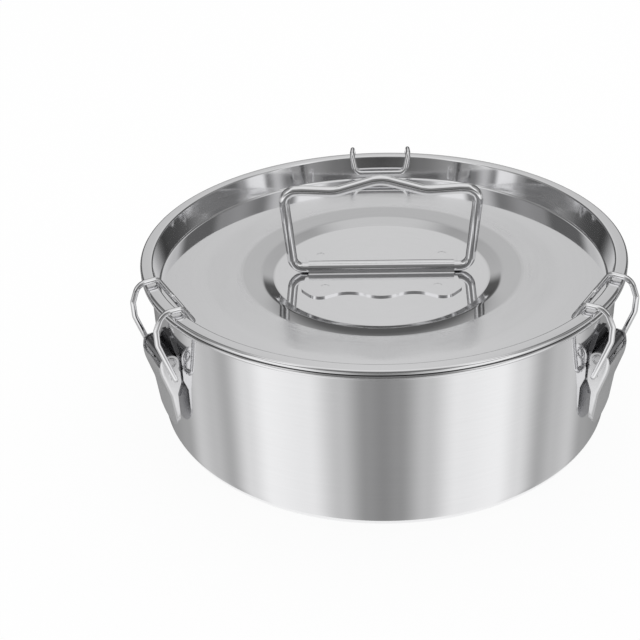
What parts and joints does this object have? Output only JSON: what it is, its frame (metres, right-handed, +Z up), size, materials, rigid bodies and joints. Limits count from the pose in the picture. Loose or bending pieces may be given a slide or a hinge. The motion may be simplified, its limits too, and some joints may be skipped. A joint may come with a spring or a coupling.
{
  "type": "flan mould",
  "caption": "Round straight-sided steel flan mould with a recessed lid, a fold-down wire handle and draw latches that clamp the lid to the pan's rim for baking in a water bath.",
  "frame": {"origin": "centre of the underside of the pan's base, where the mould stands", "axes": "+Z up along the mould's axis; +Y through the latch at the back; +X to the right, along the hinge of the lid's handle"},
  "size_m": [0.205, 0.2111, 0.1063],
  "materials": {
    "pan_steel": "mirror polish with a faint turned grain",
    "lid_steel": "mirror polish with a faint turned grain",
    "saddle_steel": "bright sheet",
    "wire_steel": "bright drawn wire",
    "latch_steel": "bright pressed sheet"
  },
  "bodies": {
    "mould": {"pan": "pan_steel", "lid": "lid_steel", "handle_saddle": "saddle_steel", "latch_bracket_back": "latch_steel", "latch_pin_back": "latch_steel", "latch_bracket_left": "latch_steel", "latch_pin_left": "latch_steel", "latch_bracket_right": "latch_steel", "latch_pin_right": "latch_steel"},
    "handle": {"lid_handle": "wire_steel"},
    "lever_back": {"latch_lever_back": "latch_steel"},
    "bail_back": {"latch_bail_back": "wire_steel"},
    "lever_left": {"latch_lever_left": "latch_steel"},
    "bail_left": {"latch_bail_left": "wire_steel"},
    "lever_right": {"latch_lever_right": "latch_steel"},
    "bail_right": {"latch_bail_right": "wire_steel"}
  },
  "joints": [
    {"name": "handle_fold", "type": "hinge", "parent": "mould", "child": "handle", "pos_m": [0, 0, 0.06366], "axis": [1, 0, 0], "range_deg": [-85, 85]},
    {"name": "lever_back_swing", "type": "hinge", "parent": "mould", "child": "lever_back", "pos_m": [0, 0.1024, 0.0532], "axis": [1, 0, 0], "range_deg": [0, 110]},
    {"name": "bail_back_swing", "type": "hinge", "parent": "lever_back", "child": "bail_back", "pos_m": [0, 0.1018, 0.0461], "axis": [1, 0, 0], "range_deg": [-82, 0]},
    {"name": "lever_left_swing", "type": "hinge", "parent": "mould", "child": "lever_left", "pos_m": [-0.08868, -0.0512, 0.0532], "axis": [-0.5, 0.866, 0], "range_deg": [0, 110]},
    {"name": "bail_left_swing", "type": "hinge", "parent": "lever_left", "child": "bail_left", "pos_m": [-0.08816, -0.0509, 0.0461], "axis": [-0.5, 0.866, 0], "range_deg": [-82, 0]},
    {"name": "lever_right_swing", "type": "hinge", "parent": "mould", "child": "lever_right", "pos_m": [0.08868, -0.0512, 0.0532], "axis": [-0.5, -0.866, 0], "range_deg": [0, 110]},
    {"name": "bail_right_swing", "type": "hinge", "parent": "lever_right", "child": "bail_right", "pos_m": [0.08816, -0.0509, 0.0461], "axis": [-0.5, -0.866, 0], "range_deg": [-82, 0]}
  ],
  "couplings": [
    {"joint": "bail_back_swing", "follows": "lever_back_swing", "ratio": -0.74},
    {"joint": "bail_left_swing", "follows": "lever_left_swing", "ratio": -0.74},
    {"joint": "bail_right_swing", "follows": "lever_right_swing", "ratio": -0.74}
  ]
}
